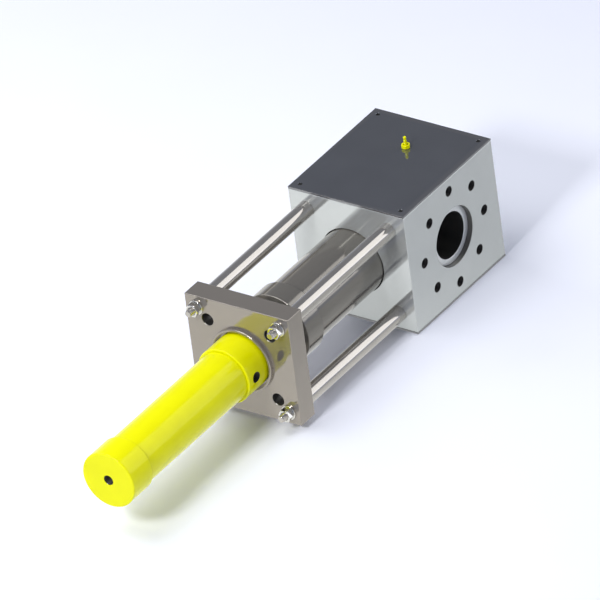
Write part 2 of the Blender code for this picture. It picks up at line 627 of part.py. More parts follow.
def make_tube():
    front, back = HEAD_BACK - GAP, TUBE_BACK
    turned("cylinder_tube", ring_profile(CYLINDER_BORE, TUBE_RADIUS, back, front, 0.5 * MM), YELLOW)


def make_end_cap():
    """Cap with a spigot in the tube and the rear oil port through its middle."""
    front, edge, port_edge = TUBE_BACK - GAP, 1.8 * MM, 0.8 * MM
    groove = TUBE_BACK + 12 * MM
    floor = SPIGOT_RADIUS - O_RING_DEPTH
    turned("cylinder_end_cap", [
        (OIL_PORT_RADIUS, CAP_SPIGOT_END), (SPIGOT_RADIUS, CAP_SPIGOT_END), (SPIGOT_RADIUS, groove),
        (floor, groove), (floor, groove - O_RING_WIDTH), (SPIGOT_RADIUS, groove - O_RING_WIDTH),
        (SPIGOT_RADIUS, front), (CAP_RADIUS - edge, front), (CAP_RADIUS, front - edge),
        (CAP_RADIUS, CAP_BACK + edge), (CAP_RADIUS - edge, CAP_BACK),
        (OIL_PORT_RADIUS + port_edge, CAP_BACK), (OIL_PORT_RADIUS, CAP_BACK + port_edge),
    ], YELLOW)
    ring_end = groove - O_RING_WIDTH + GAP
    turned("cap_o_ring", ring_profile(floor + GAP, SPIGOT_RADIUS, ring_end, groove - GAP), RUBBER)


def main():
    for old in list(bpy.data.objects):
        bpy.data.objects.remove(old)
    make_block()
    make_cover("top_cover", 1)
    make_cover("bottom_cover", -1)
    make_cover_screws("top_cover_screw", 1)
    make_cover_screws("bottom_cover_screw", -1)
    make_bleed_fitting()
    make_seat("right", 1)
    make_seat("left", -1)
    make_ram_rings()

    slide = bpy.data.objects.new("ram_slide", None)
    bpy.context.scene.collection.objects.link(slide)
    slide.location = (0, RAM_TIP_Y, AXIS_Z)
    make_ram(slide)
    make_collar(slide)
    make_piston_rod(slide)
    make_piston(slide)

    make_tie_rods()
    make_end_plate()
    make_cylinder_head()
    make_rod_rings()
    make_locknut()
    make_tube()
    make_end_cap()


main()
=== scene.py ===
"""Looks of a gate valve with a hydraulic cylinder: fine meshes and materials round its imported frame.

The frame's own solids give the outer sizes and the places. A fine piece stands for each solid that
can be seen, and for the rings round the ram, with rounded edges, real threads and smooth turned
surfaces. The other inner solids stay, in a finished material.
"""
from math import cos, inf, pi, radians, sin, tan

import bmesh
import bpy
from mathutils import Matrix, Vector


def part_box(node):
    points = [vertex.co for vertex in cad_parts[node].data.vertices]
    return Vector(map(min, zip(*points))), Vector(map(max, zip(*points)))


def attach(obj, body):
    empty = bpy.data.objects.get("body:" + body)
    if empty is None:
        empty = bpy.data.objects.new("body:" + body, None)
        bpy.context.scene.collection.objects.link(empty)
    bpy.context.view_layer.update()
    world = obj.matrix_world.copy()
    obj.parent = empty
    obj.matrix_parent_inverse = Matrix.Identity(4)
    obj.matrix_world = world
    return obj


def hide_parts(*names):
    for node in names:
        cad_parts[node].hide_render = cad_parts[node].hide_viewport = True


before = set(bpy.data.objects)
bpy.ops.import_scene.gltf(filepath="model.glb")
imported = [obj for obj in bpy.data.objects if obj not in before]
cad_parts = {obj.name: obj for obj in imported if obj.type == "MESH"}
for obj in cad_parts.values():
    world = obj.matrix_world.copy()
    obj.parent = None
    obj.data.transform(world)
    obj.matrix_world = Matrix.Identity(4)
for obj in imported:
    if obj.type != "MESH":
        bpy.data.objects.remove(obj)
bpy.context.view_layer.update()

MM = 0.001
GAP = 0.3 * MM              # left between pieces that touch
PAST = 2 * MM               # how far a cutter reaches past the face that it cuts
FINE, SIDES = 112, 48       # sides of large and of small turned shapes; both divide by four, so
                            # that a shape reaches its full size each way
NUT_SIDES = 96              # like SIDES it divides by six, so a hexagon's corners fall on points
ARC_STEPS = 5               # faces across a rounded corner
CHAMFER_STEPS = 5           # faces across the chamfer of a hexagonal collar
THREAD_STEPS = 30           # faces along one turn of a thread
SMOOTH_ANGLE = radians(32)  # faces that meet more sharply show an edge


def middle(node):
    """Middle of a solid's box."""
    low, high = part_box(node)
    return [(one + other) / 2 for one, other in zip(low, high)]


# Places from the frame ----------------------------------------------------------------------
BLOCK_LOW, BLOCK_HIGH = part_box("body_block")
BLOCK_FRONT = BLOCK_LOW.y
PORT_FACE = BLOCK_HIGH.x
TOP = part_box("top_cover")[1].z
AXIS_Z = TOP / 2
PLATE_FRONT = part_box("end_plate")[0].y                  # the face of the plate's raised ring
FLAT_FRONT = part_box("tie_rod_washer_1")[1].y + GAP      # the plate's flat face, behind the ring
PLATE_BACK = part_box("end_plate")[1].y
ROD_PLACE = middle("tie_rod_1")[0]                      # from the axis, each way
COLLAR_SCREW_PLACE = middle("collar_screw_1")[0]

# Sizes that the boxes don't give; a round shape's size is its radius ------------------------
PORT = 37 * MM
BOLT_CIRCLE, BOLT_COUNT, BOLT_DEPTH = 80 * MM, 8, 26 * MM
BOLT_ROOT, BOLT_CREST, BOLT_PITCH = 7.5 * MM, 6.8 * MM, 2 * MM
RAM_BORE, CHAMBER_END = 54.5 * MM, 74 * MM
RAM_GROOVES = (             # near edge and far edge from the block's front, and the groove's radius
    (46 * MM, 60 * MM, 57.5 * MM), (32 * MM, 42 * MM, 62.5 * MM),
    (18 * MM, 28 * MM, 62.5 * MM), (5 * MM, 13 * MM, 61 * MM),
)
BLEED_SPIGOT, BLEED_HOLE = 4.2 * MM, 4.6 * MM
COLLAR_SCREW, COLLAR_SCREW_HOLE = 5 * MM, 5.3 * MM
TIE_THREAD = 10 * MM
STUD, STUD_ROOT, STUD_PITCH = 6 * MM, 5.05 * MM, 1.75 * MM
PLATE_HOLE_PLACE, PLATE_HOLE = 55.9 * MM, 10 * MM
RAISED_RING, RING_BORE, RING_DEPTH = 54 * MM, 49.8 * MM, 3 * MM
ROD, ROD_BORE = 18 * MM, 18.6 * MM
PISTON_THREAD, PISTON_ROOT, PISTON_PITCH = 12 * MM, 11 * MM, 2 * MM
NOSE, NOSE_BORE = 35 * MM, 35.3 * MM
TUBE_BORE, SPIGOT, O_RING_FLOOR = 31.5 * MM, 31.2 * MM, 28.2 * MM
OIL_ROOT, OIL_CREST, OIL_PITCH = 8 * MM, 7.3 * MM, 1.34 * MM

AXES = {                    # across, up and forward of a shape turned round that axis
    "X": (Vector((0, 1, 0)), Vector((0, 0, 1)), Vector((1, 0, 0))),
    "Y": (Vector((1, 0, 0)), Vector((0, 0, 1)), Vector((0, 1, 0))),
    "Z": (Vector((1, 0, 0)), Vector((0, 1, 0)), Vector((0, 0, 1))),
}


# Material helpers ---------------------------------------------------------------------------
SMOOTHER, ROUGHER = 0.85, 1.2       # a roughness varies from one to the other, times its value


def new_material(name, colour, roughness, metallic=0.0):
    made = bpy.data.materials.new(name)
    made.use_nodes = True
    shader = made.node_tree.nodes["Principled BSDF"]
    shader.inputs["Base Color"].default_value = (*colour, 1)
    shader.inputs["Roughness"].default_value = roughness
    shader.inputs["Metallic"].default_value = metallic
    return made, made.node_tree, shader


def noise(tree, scale, stretch=(1, 1, 1), detail=2.0):
    """Noise with about that many features to a metre of the piece; stretch multiplies it by axis."""
    place = tree.nodes.new("ShaderNodeTexCoord")
    mapping = tree.nodes.new("ShaderNodeMapping")
    mapping.inputs["Scale"].default_value = stretch
    made = tree.nodes.new("ShaderNodeTexNoise")
    made.inputs["Scale"].default_value = scale
    made.inputs["Detail"].default_value = detail
    tree.links.new(place.outputs["Object"], mapping.inputs["Vector"])
    tree.links.new(mapping.outputs["Vector"], made.inputs["Vector"])
    return made.outputs["Fac"]


def between(tree, value, low, high, start=0.3, end=0.7):
    """Spreads a value's stretch from start to end over low to high, and stops there."""
    made = tree.nodes.new("ShaderNodeMapRange")
    made.inputs["From Min"].default_value = start
    made.inputs["From Max"].default_value = end
    made.inputs["To Min"].default_value = low
    made.inputs["To Max"].default_value = high
    tree.links.new(value, made.inputs["Value"])
    return made.outputs["Result"]


def mixed(tree, factor, one, other):
    made = tree.nodes.new("ShaderNodeMix")
    made.data_type = "RGBA"
    made.inputs["A"].default_value = (*one, 1)
    made.inputs["B"].default_value = (*other, 1)
    tree.links.new(factor, made.inputs["Factor"])
    return made.outputs["Result"]


def vary_colour(tree, shader, value, one, other):
    """Colours a surface from one to the other as the value rises."""
    tree.links.new(mixed(tree, between(tree, value, 0, 1), one, other), shader.inputs["Base Color"])


def vary_roughness(tree, shader, value, low, high):
    tree.links.new(between(tree, value, low, high), shader.inputs["Roughness"])


def relief(tree, shader, height, distance):
    made = tree.nodes.new("ShaderNodeBump")
    made.inputs["Distance"].default_value = distance
    tree.links.new(height, made.inputs["Height"])
    tree.links.new(made.outputs["Normal"], shader.inputs["Normal"])


def edges(tree, reach):
    """1 near convex edges and corners, 0 elsewhere."""
    shape = tree.nodes.new("ShaderNodeNewGeometry")
    flat = 0.5
    return between(tree, shape.outputs["Pointiness"], 0.0, 1.0, flat + reach, flat + 2.5 * reach)


def metal(name, colour, roughness, lines, metallic=1.0, marks_depth=0.0015 * MM):
    """Machined metal. lines stretches the fine tool marks: large along the axis that they cross.

    A lower metallic stands for a finer scatter on the ground surface, which mirrors less of the room.
    """
    made, tree, shader = new_material(name, colour, roughness, metallic)
    marks = noise(tree, scale=90, stretch=lines, detail=4.0)
    cloud = noise(tree, scale=22)
    darker = tuple(channel * 0.96 for channel in colour)
    vary_colour(tree, shader, cloud, darker, colour)
    vary_roughness(tree, shader, marks, roughness * SMOOTHER, roughness * ROUGHER)
    relief(tree, shader, marks, marks_depth)
    return made


def dark_coating(name, colour, roughness, edge_colour, metallic):
    """Dark finish over steel, rubbed a little brighter along its edges."""
    made, tree, shader = new_material(name, colour, roughness, metallic)
    grain = noise(tree, scale=700, detail=4.0)
    cloud = noise(tree, scale=14)
    lighter = tuple(channel * 1.12 for channel in colour)
    whole = mixed(tree, between(tree, cloud, 0, 1), colour, lighter)
    worn = mixed(tree, edges(tree, reach=0.03), colour, edge_colour)
    tree.links.new(whole, worn.node.inputs["A"])
    tree.links.new(worn, shader.inputs["Base Color"])
    vary_roughness(tree, shader, grain, roughness * SMOOTHER, roughness * ROUGHER)
    relief(tree, shader, grain, 0.004 * MM)
    return made


def paint(name, colour, shade):
    """Glossy enamel with a faint orange peel, a little darker in places."""
    made, tree, shader = new_material(name, colour, roughness=0.13)
    shader.inputs["Specular IOR Level"].default_value = 0.22
    peel = noise(tree, scale=260, detail=1.5)
    cloud = noise(tree, scale=30)
    vary_colour(tree, shader, cloud, shade, colour)
    vary_roughness(tree, shader, peel, 0.11, 0.15)
    relief(tree, shader, peel, 0.006 * MM)
    return made


def soft_solid(name, colour, shade, roughness, scale):
    """Rubber, plastic or a dull dark finish, with a fine grain."""
    made, tree, shader = new_material(name, colour, roughness)
    grain = noise(tree, scale, detail=4.0)
    vary_colour(tree, shader, grain, shade, colour)
    vary_roughness(tree, shader, grain, roughness * SMOOTHER, roughness * 1.15)
    relief(tree, shader, grain, 0.02 * MM)
    return made


# Materials ----------------------------------------------------------------------------------
POLISHED = 0.0002 * MM              # depth of the marks on a ground and polished surface
LEVEL = (1, 1, 14)                  # how the tool marks lie: level, or round the X or Y axis
ROUND_X, ROUND_Y, FINELY_ROUND_Y = (12, 1, 1), (1, 12, 1), (1, 16, 1)

BLOCK_STEEL = metal("ground_block_steel", (0.66, 0.685, 0.68), 0.05, LEVEL, 0.7, POLISHED)
# Bores: rougher bored steel, darkened far below the block's steel as painted shade inside them
BORE_STEEL_PAINTED_SHADE = metal("bored_steel_painted_shade", (0.14, 0.136, 0.128), 0.32, ROUND_X, 0.8)
# Holes: near-black, painted shade inside the bolt holes, the threads in them and the oil ports
HOLE_PAINTED_SHADE = metal("near_black_hole_painted_shade", (0.045, 0.042, 0.040), 0.50, ROUND_X, 0.4)
SEAT_STEEL = metal("lapped_seat_steel", (0.80, 0.82, 0.82), 0.22, ROUND_X, 0.5)
PLATE_STEEL = metal("polished_plate_steel", (0.375, 0.34, 0.30), 0.05, LEVEL, 0.7, POLISHED)
ROD_CHROME = metal("ground_tie_rod_steel", (0.56, 0.53, 0.49), 0.12, FINELY_ROUND_Y, 0.85, POLISHED)
RAM_STEEL = metal("ground_ram_steel", (0.25, 0.235, 0.21), 0.10, FINELY_ROUND_Y, 0.6, POLISHED)
PISTON_CHROME = metal("chromed_rod_steel", (0.70, 0.70, 0.69), 0.08, FINELY_ROUND_Y)
PLAIN_STEEL = metal("turned_steel", (0.48, 0.48, 0.46), 0.28, ROUND_Y)
BRIGHT_ZINC = metal("zinc_plated_steel", (0.80, 0.79, 0.76), 0.18, (1, 6, 1))
BUSH_BRONZE = metal("bearing_bronze", (0.62, 0.41, 0.19), 0.24, ROUND_Y)
COVER_FINISH = dark_coating("dark_cover_finish", (0.24, 0.25, 0.272), 0.07, (0.30, 0.30, 0.31), 0.85)
BLACK_OXIDE = dark_coating("black_oxide", (0.016, 0.016, 0.018), 0.45, (0.12, 0.12, 0.12), 0.3)
YELLOW_PAINT = paint("yellow_enamel", (0.77, 0.76, 0.001), (0.74, 0.725, 0.001))
# Cover screws: blackened steel, darkened to near-black below the black oxide as painted shade of the
# holes they sit in
BLACK_SOCKET_PAINTED_SHADE = soft_solid("blackened_socket_steel_painted_shade", (0.006,) * 3, (0.004,) * 3, 0.6, 900)
SEAL_RUBBER = soft_solid("seal_rubber", (0.024, 0.023, 0.022), (0.014, 0.014, 0.014), 0.55, 900)
GUIDE_POLYMER = soft_solid("guide_polymer", (0.13, 0.20, 0.16), (0.10, 0.16, 0.13), 0.42, 500)


# Shape helpers ------------------------------------------------------------------------------
def rounded(points):
    """Makes an outline's corners into arcs. A point is (radius, along) or (radius, along, rounding)."""
    made = []
    for index, point in enumerate(points):
        if len(point) < 3:
            made.append(point)
            continue
        rounding = point[2]
        corner = Vector(point[:2])
        before = (Vector(points[index - 1][:2]) - corner).normalized()
        after = (Vector(points[(index + 1) % len(points)][:2]) - corner).normalized()
        half = before.angle(after) / 2
        reach = rounding / tan(half)
        centre = corner + (before + after).normalized() * (rounding / sin(half))
        start, end = corner + before * reach - centre, corner + after * reach - centre
        for step in range(ARC_STEPS + 1):
            arm = start.slerp(end, step / ARC_STEPS).normalized() * rounding
            made.append(tuple(centre + arm))
    return made


def hexagon(across_flats, limit=inf):
    """A radius that varies with the angle: a hexagon's, but no more than the limit."""
    def reach(angle):
        return min(across_flats / 2 / cos((angle % (pi / 3)) - pi / 6), limit)
    return reach


def ring(bm, radius, along, sides, axis, centre):
    """Points round an axis, or the one point on it where the radius is 0."""
    across, up, forward = AXES[axis]
    origin = Vector(centre) + forward * along
    if radius == 0:
        return [bm.verts.new(origin)]
    made = []
    for step in range(sides):
        angle = 2 * pi * step / sides
        reach = radius(angle) if callable(radius) else radius
        made.append(bm.verts.new(origin + (across * cos(angle) + up * sin(angle)) * reach))
    return made


def skin(bm, one, other):
    """Joins two rings with faces; a ring of one point makes a fan."""
    if len(one) == 1:
        one, other = other, one
    count = len(one)
    for step in range(count):
        after = (step + 1) % count
        if len(other) == 1:
            bm.faces.new((one[step], one[after], other[0]))
        else:
            bm.faces.new((one[step], one[after], other[after], other[step]))


def lathe(bm, points, sides=FINE, axis="Y", centre=(0, 0, AXIS_Z)):
    """Turns an outline round an axis. One that starts off the axis closes on itself, as a ring."""
    outline = rounded(points)
    rings = [ring(bm, radius, along, sides, axis, centre) for radius, along in outline]
    if points[0][0] != 0:
        rings.append(rings[0])
    for one, other in zip(rings, rings[1:]):
        skin(bm, one, other)


def slab(bm, low, high, rounding=0):
    """A box between two corners, with its edges rounded or left sharp."""
    made = bmesh.ops.create_cube(bm, size=1.0)["verts"]
    for vert in made:
        vert.co = [low[i] if vert.co[i] < 0 else high[i] for i in range(3)]
    if rounding:
        sharp = list({edge for vert in made for edge in vert.link_edges})
        bmesh.ops.bevel(bm, geom=sharp, offset=rounding, segments=3, profile=0.5, affect="EDGES")


def hole(bm, radius, floor, face, axis, centre, chamfer):
    """Cutter for a flat-bottomed hole from floor to face, chamfered at the face."""
    way = 1 if face > floor else -1
    wide, outside = radius + chamfer, face + way * PAST
    lathe(bm, [(0, floor), (radius, floor), (radius, face - way * chamfer), (wide, face),
               (wide, outside), (0, outside)], SIDES, axis, centre)


def thread(bm, wall, crest, pitch, start, end, axis, centre):
    """A ridge wound from start to end, from the wall to its crest, which fades out at both ends."""
    across, up, forward = AXES[axis]
    origin = Vector(centre)
    way = 1 if end > start else -1
    total = int(abs(end - start) / pitch * THREAD_STEPS)
    root_half, crest_half = 0.46 * pitch, 0.08 * pitch
    foot = wall + 0.04 * (wall - crest)     # sunk a little into the solid
    least = 0.03                            # part of the full height that is left at the ends
    last = None
    for step in range(total + 1):
        angle = 2 * pi * step / THREAD_STEPS
        along = start + way * pitch * step / THREAD_STEPS
        spoke = across * cos(angle) + up * sin(angle)
        fade = max(least, min(1, step / THREAD_STEPS, (total - step) / THREAD_STEPS))
        height = wall + (crest - wall) * fade
        section = [(foot, -root_half), (height, -crest_half), (height, crest_half), (foot, root_half)]
        spots = [origin + spoke * radius + forward * (along + side) for radius, side in section]
        loop = [bm.verts.new(spot) for spot in spots]
        if last:
            skin(bm, last, loop)
        else:
            bm.faces.new(loop)
        last = loop
    bm.faces.new(reversed(last))


def corners(offset):
    """Corners of a square round the middle, that far out each way."""
    return [(offset, offset), (-offset, offset), (-offset, -offset), (offset, -offset)]


# Pieces -------------------------------------------------------------------------------------
def from_bmesh(name, bm, material):
    bmesh.ops.recalc_face_normals(bm, faces=bm.faces)
    mesh = bpy.data.meshes.new(name)
    bm.to_mesh(mesh)
    bm.free()
    mesh.materials.append(material)
    made = bpy.data.objects.new(name, mesh)
    bpy.context.scene.collection.objects.link(made)
    return made


def cut(piece, bm, material, operation="DIFFERENCE"):
    """Cuts a shape from a piece, or joins it on. The new faces take that material."""
    tool = from_bmesh(piece.name + "_tool", bm, material)
    step = piece.modifiers.new("cut", "BOOLEAN")
    step.operation = operation
    step.solver = "EXACT"
    step.material_mode = "TRANSFER"
    step.object = tool
    bpy.context.view_layer.update()
    graph = bpy.context.evaluated_depsgraph_get()
    result = bpy.data.meshes.new_from_object(piece.evaluated_get(graph))
    piece.modifiers.clear()
    piece.data = result
    bpy.data.objects.remove(tool)


def add_threads(piece, threads):
    """Winds threads on a piece or in its holes, in its last material, without joining them on."""
    bm = bmesh.new()
    for sizes in threads:
        thread(bm, *sizes)
    bmesh.ops.recalc_face_normals(bm, faces=bm.faces)
    index = len(piece.data.materials) - 1
    for face in bm.faces:
        face.material_index = index
    extra = bpy.data.meshes.new("extra")
    bm.to_mesh(extra)
    bm.free()
    whole = bmesh.new()
    whole.from_mesh(piece.data)
    whole.from_mesh(extra)
    whole.to_mesh(piece.data)
    whole.free()


def finish(piece, body, node):
    """Smooth shading with true flats; sets the piece on the body that it rides, and hides the solid that
    it stands for.
    """
    piece.data.shade_smooth()
    piece.data.set_sharp_from_angle(angle=SMOOTH_ANGLE)
    flats = piece.modifiers.new("flats", "WEIGHTED_NORMAL")
    flats.keep_sharp = True
    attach(piece, body)
    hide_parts(node)


def turned(node, points, material, body="valve_body", sides=FINE, axis="Y", centre=(0, 0, AXIS_Z)):
    bm = bmesh.new()
    lathe(bm, points, sides, axis, centre)
    finish(from_bmesh("fine_" + node, bm, material), body, node)


def along_y(node):
    """Radius of a round solid whose axis lies along Y, and its lowest and highest Y."""
    low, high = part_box(node)
    return (high.x - low.x) / 2, low.y, high.y


# The block, its covers and the seats --------------------------------------------------------
def chamber_cutter(bm):
    """The ram's round chamber, chamfered at the block's front, with the grooves for the ram's rings."""
    edge, outside = 1 * MM, BLOCK_FRONT - PAST
    points = [(0, CHAMBER_END), (RAM_BORE, CHAMBER_END, 2 * MM)]
    for near, far, radius in RAM_GROOVES:
        points += [(RAM_BORE, BLOCK_FRONT + far), (radius, BLOCK_FRONT + far),
                   (radius, BLOCK_FRONT + near), (RAM_BORE, BLOCK_FRONT + near)]
    points += [(RAM_BORE, BLOCK_FRONT + edge), (RAM_BORE + edge, BLOCK_FRONT),
               (RAM_BORE + edge, outside), (0, outside)]
    lathe(bm, points)


def port_cutter(bm):
    """The bore that holds both seats, through the block and chamfered at each port face."""
    bore, edge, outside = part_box("seat_ring_right")[1].y + GAP, 0.6 * MM, PORT_FACE + PAST
    wide = bore + edge
    lathe(bm, [(0, -outside), (wide, -outside), (wide, -PORT_FACE), (bore, edge - PORT_FACE),
               (bore, PORT_FACE - edge), (wide, PORT_FACE), (wide, outside), (0, outside)], FINE, "X")


def bolt_places():
    steps = [2 * pi * step / BOLT_COUNT for step in range(BOLT_COUNT)]
    return [(BOLT_CIRCLE * cos(angle), AXIS_Z + BOLT_CIRCLE * sin(angle)) for angle in steps]


def bolt_hole_cutters(bm):
    """Flange bolt holes in both port faces, and the holes that the tie rods are screwed into."""
    for y, z in bolt_places():
        for way in (1, -1):
            floor, face = way * (PORT_FACE - BOLT_DEPTH), way * PORT_FACE
            hole(bm, BOLT_ROOT, floor, face, "X", (0, y, z), chamfer=0.8 * MM)
    rod_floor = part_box("tie_rod_1")[1].y + PAST
    for x, z in corners(ROD_PLACE):
        hole(bm, TIE_THREAD + GAP, rod_floor, BLOCK_FRONT, "Y", (x, 0, AXIS_Z + z), chamfer=0.5 * MM)


def make_block():
    bm = bmesh.new()
    slab(bm, BLOCK_LOW, BLOCK_HIGH, rounding=0.8 * MM)
    block = from_bmesh("fine_body_block", bm, BLOCK_STEEL)
    # the chamber and the port take the bores' painted shade, the bolt holes the near-black painted shade
    for make_cutter, material in ((chamber_cutter, BORE_STEEL_PAINTED_SHADE), (port_cutter, BORE_STEEL_PAINTED_SHADE),
                                  (bolt_hole_cutters, HOLE_PAINTED_SHADE)):
        bm = bmesh.new()
        make_cutter(bm)
        cut(block, bm, material)
    threads = []
    first, last = PORT_FACE - 2 * MM, PORT_FACE - BOLT_DEPTH + 3 * MM
    for y, z in bolt_places():
        for way in (1, -1):
            threads.append((BOLT_ROOT, BOLT_CREST, BOLT_PITCH, way * first, way * last, "X", (0, y, z)))
    add_threads(block, threads)
    finish(block, "valve_body", "body_block")


def make_cover(node, side):
    """Thin cover above (side 1) or below (side -1) the block, with holes for its screws."""
    low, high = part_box(node)
    bm = bmesh.new()
    slab(bm, low, high, rounding=0.3 * MM)
    cover = from_bmesh("fine_" + node, bm, COVER_FINISH)

    face, inside, lip = side * AXIS_Z, side * (AXIS_Z - 6 * MM), side * (AXIS_Z - 2.3 * MM)
    wide, narrow, edge = 3.5 * MM, 2.3 * MM, 0.25 * MM
    outside = face + side * PAST
    x, y, _ = middle("top_cover_screw_1")
    bm = bmesh.new()
    for place in ((x, y), (x, -y), (-x, -y), (-x, y)):
        lathe(bm, [(0, inside), (narrow, inside), (narrow, lip), (wide, lip), (wide, face - side * edge),
                   (wide + edge, face), (wide + edge, outside), (0, outside)],
              SIDES, "Z", (*place, AXIS_Z))
    if side > 0:
        bleed_y = middle("bleed_fitting")[1]
        hole(bm, BLEED_HOLE, inside, face, "Z", (0, bleed_y, AXIS_Z), chamfer=0.3 * MM)
    cut(cover, bm, COVER_FINISH)
    finish(cover, "valve_body", node)


def make_cover_screws(group, side):
    """Small socket screws, flush with the cover, in blackened steel darkened to near-black as painted
    shade of their holes.
    """
    head, floor, under, tip = (side * (AXIS_Z - depth * MM) for depth in (0, 1.4, 2, 15))
    shank, radius, mouth, socket = 2 * MM, 3.2 * MM, 1.75 * MM, hexagon(2.8 * MM)
    edge, point_edge = 0.3 * MM, 0.4 * MM
    points = [(0, tip), (shank - point_edge, tip), (shank, tip + side * point_edge), (shank, under),
              (radius, under), (radius, head - side * edge), (radius - edge, head), (mouth, head),
              (socket, head - side * edge), (socket, floor), (0, floor)]
    for number in range(1, 5):
        node = f"{group}_{number}"
        x, y, _ = middle(node)
        turned(node, points, BLACK_SOCKET_PAINTED_SHADE, sides=SIDES, axis="Z", centre=(x, y, AXIS_Z))


def make_bleed_fitting():
    """Six-sided collar on a spigot, with a thin necked stem that stands in its recess."""
    low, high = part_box("bleed_fitting")
    flats, chamfer, slope, edge = 12.4 * MM, 0.9 * MM, 1.2, 0.6 * MM
    inner, corner = flats * 0.49, flats * 0.577     # radius inside both chamfers, and at the corners
    base, rim = TOP + GAP, TOP + 6 * MM
    recess, floor = 4 * MM, TOP + 2.4 * MM
    stem, neck, tip = 2.4 * MM, 2 * MM, 1.5 * MM
    collar = hexagon(flats)
    rises = [chamfer * step / CHAMFER_STEPS for step in range(CHAMFER_STEPS + 1)]
    points = [(0, low.z), (BLEED_SPIGOT - edge, low.z), (BLEED_SPIGOT, low.z + edge),
              (BLEED_SPIGOT, base)]
    points += [(hexagon(flats, inner + rise * slope), base + rise) for rise in rises]
    points += [(collar, TOP + 1.4 * MM), (collar, rim - 1.2 * MM)]
    points += [(hexagon(flats, corner - rise * slope), rim - chamfer + rise) for rise in rises]
    points += [
        (recess + 0.4 * MM, rim), (recess, rim - 0.4 * MM), (recess, floor), (stem, floor),
        (stem, high.z - 6 * MM), (neck, high.z - 5.5 * MM), (neck, high.z - 4 * MM),
        (stem, high.z - 3.5 * MM), (stem, high.z - 1 * MM), (tip, high.z), (0, high.z),
    ]
    centre = (0, middle("bleed_fitting")[1], 0)
    turned("bleed_fitting", points, YELLOW_PAINT, sides=SIDES, axis="Z", centre=centre)


def make_seat(name, side):
    """Seat ring with a lapped face, a seal groove and a saddle that fits round the ram."""
    low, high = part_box("seat_ring_" + name)
    outer, face = high.y, (high.x if side > 0 else -low.x)
    seal_low, seal_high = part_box("seat_seal_" + name)
    near, far = sorted((abs(seal_low.x), abs(seal_high.x)))
    near, far = near - GAP, far + GAP
    groove, inside, reach = outer - 3.5 * MM, 20 * MM, 60 * MM
    points = [
        (PORT, inside), (outer, inside), (outer, near), (groove, near),
        (groove, far), (outer, far), (outer, face, 0.6 * MM), (PORT, face, 0.8 * MM),
    ]
    bm = bmesh.new()
    lathe(bm, [(point[0], side * point[1], *point[2:]) for point in points], FINE, "X")
    seat = from_bmesh("fine_seat_ring_" + name, bm, SEAT_STEEL)
    bm = bmesh.new()
    lathe(bm, [(0, -reach), (RAM_BORE, -reach), (RAM_BORE, reach), (0, reach)])
    # the saddle and the faces round the port take the bores' painted shade
    cut(seat, bm, BORE_STEEL_PAINTED_SHADE)
    for polygon in seat.data.polygons:
        if Vector((0, polygon.center.y, polygon.center.z - AXIS_Z)).length < PORT:
            polygon.material_index = 1
    finish(seat, "valve_body", "seat_ring_" + name)


def make_ram_rings():
    """Wiper, two lip seals and the guide band, in the block's grooves round the ram."""
    clearance = 0.15 * MM
    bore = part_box("ram")[1].x + clearance
    outer, start, end = along_y("ram_wiper")
    points = [(bore, start + 1 * MM, 0.4 * MM), (bore + 3 * MM, start, 0.6 * MM), (outer, start),
              (outer, end), (bore + 1.5 * MM, end), (bore, end - 3 * MM)]
    turned("ram_wiper", points, SEAL_RUBBER)
    for node in ("ram_seal_front", "ram_seal_rear"):
        outer, start, end = along_y(node)
        groove = (bore + outer) / 2
        points = [(bore, start), (outer, start), (outer, end, 0.5 * MM), (groove + 1 * MM, end),
                  (groove, end - 3 * MM), (groove - 1 * MM, end), (bore, end, 0.5 * MM)]
        turned(node, points, SEAL_RUBBER)
    outer, start, end = along_y("ram_guide_band")
    turned("ram_guide_band", [(bore, start), (outer, start), (outer, end), (bore, end)], GUIDE_POLYMER)


# The ram and what moves with it -------------------------------------------------------------
def make_ram():
    """Polished bar, coned at its tip, with a pocket for the piston rod's head in its rear end."""
    radius, rear, tip = along_y("ram")
    pocket, pocket_floor, cone = 33 * MM, rear + 17 * MM, 3 * MM
    bm = bmesh.new()
    lathe(bm, [(0, tip), (radius - cone, tip, 1 * MM), (radius, tip - cone, 1.5 * MM),
               (radius, rear, 1 * MM), (pocket, rear, 0.4 * MM), (pocket, pocket_floor),
               (0, pocket_floor)])
    ram = from_bmesh("fine_ram", bm, RAM_STEEL)
    screw_floor = rear + 26 * MM
    bm = bmesh.new()
    for x, z in corners(COLLAR_SCREW_PLACE):
        hole(bm, COLLAR_SCREW_HOLE, screw_floor, rear, "Y", (x, 0, AXIS_Z + z), chamfer=0.5 * MM)
    cut(ram, bm, RAM_STEEL)
    finish(ram, "ram_unit", "ram")


def make_collar():
    """Ring round the ram's rear end, whose web holds the piston rod's head, with sunk screw holes."""
    radius, back, front = along_y("ram_collar")
    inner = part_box("ram")[1].x + GAP
    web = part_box("ram")[0].y - GAP
    bm = bmesh.new()
    lathe(bm, [(ROD_BORE, back, 0.5 * MM), (radius, back, 1.6 * MM), (radius, front, 1.6 * MM),
               (inner, front, 0.5 * MM), (inner, web), (ROD_BORE, web)])
    collar = from_bmesh("fine_ram_collar", bm, RAM_STEEL)
    wide, narrow, edge = 8.4 * MM, COLLAR_SCREW_HOLE, 0.5 * MM
    head_floor, inside, outside = back + 10.6 * MM, web + PAST, back - PAST
    bm = bmesh.new()
    for x, z in corners(COLLAR_SCREW_PLACE):
        lathe(bm, [(0, inside), (narrow, inside), (narrow, head_floor), (wide, head_floor),
                   (wide, back + edge), (wide + edge, back), (wide + edge, outside), (0, outside)],
              SIDES, "Y", (x, 0, AXIS_Z + z))
    cut(collar, bm, PLAIN_STEEL)
    finish(collar, "ram_unit", "ram_collar")


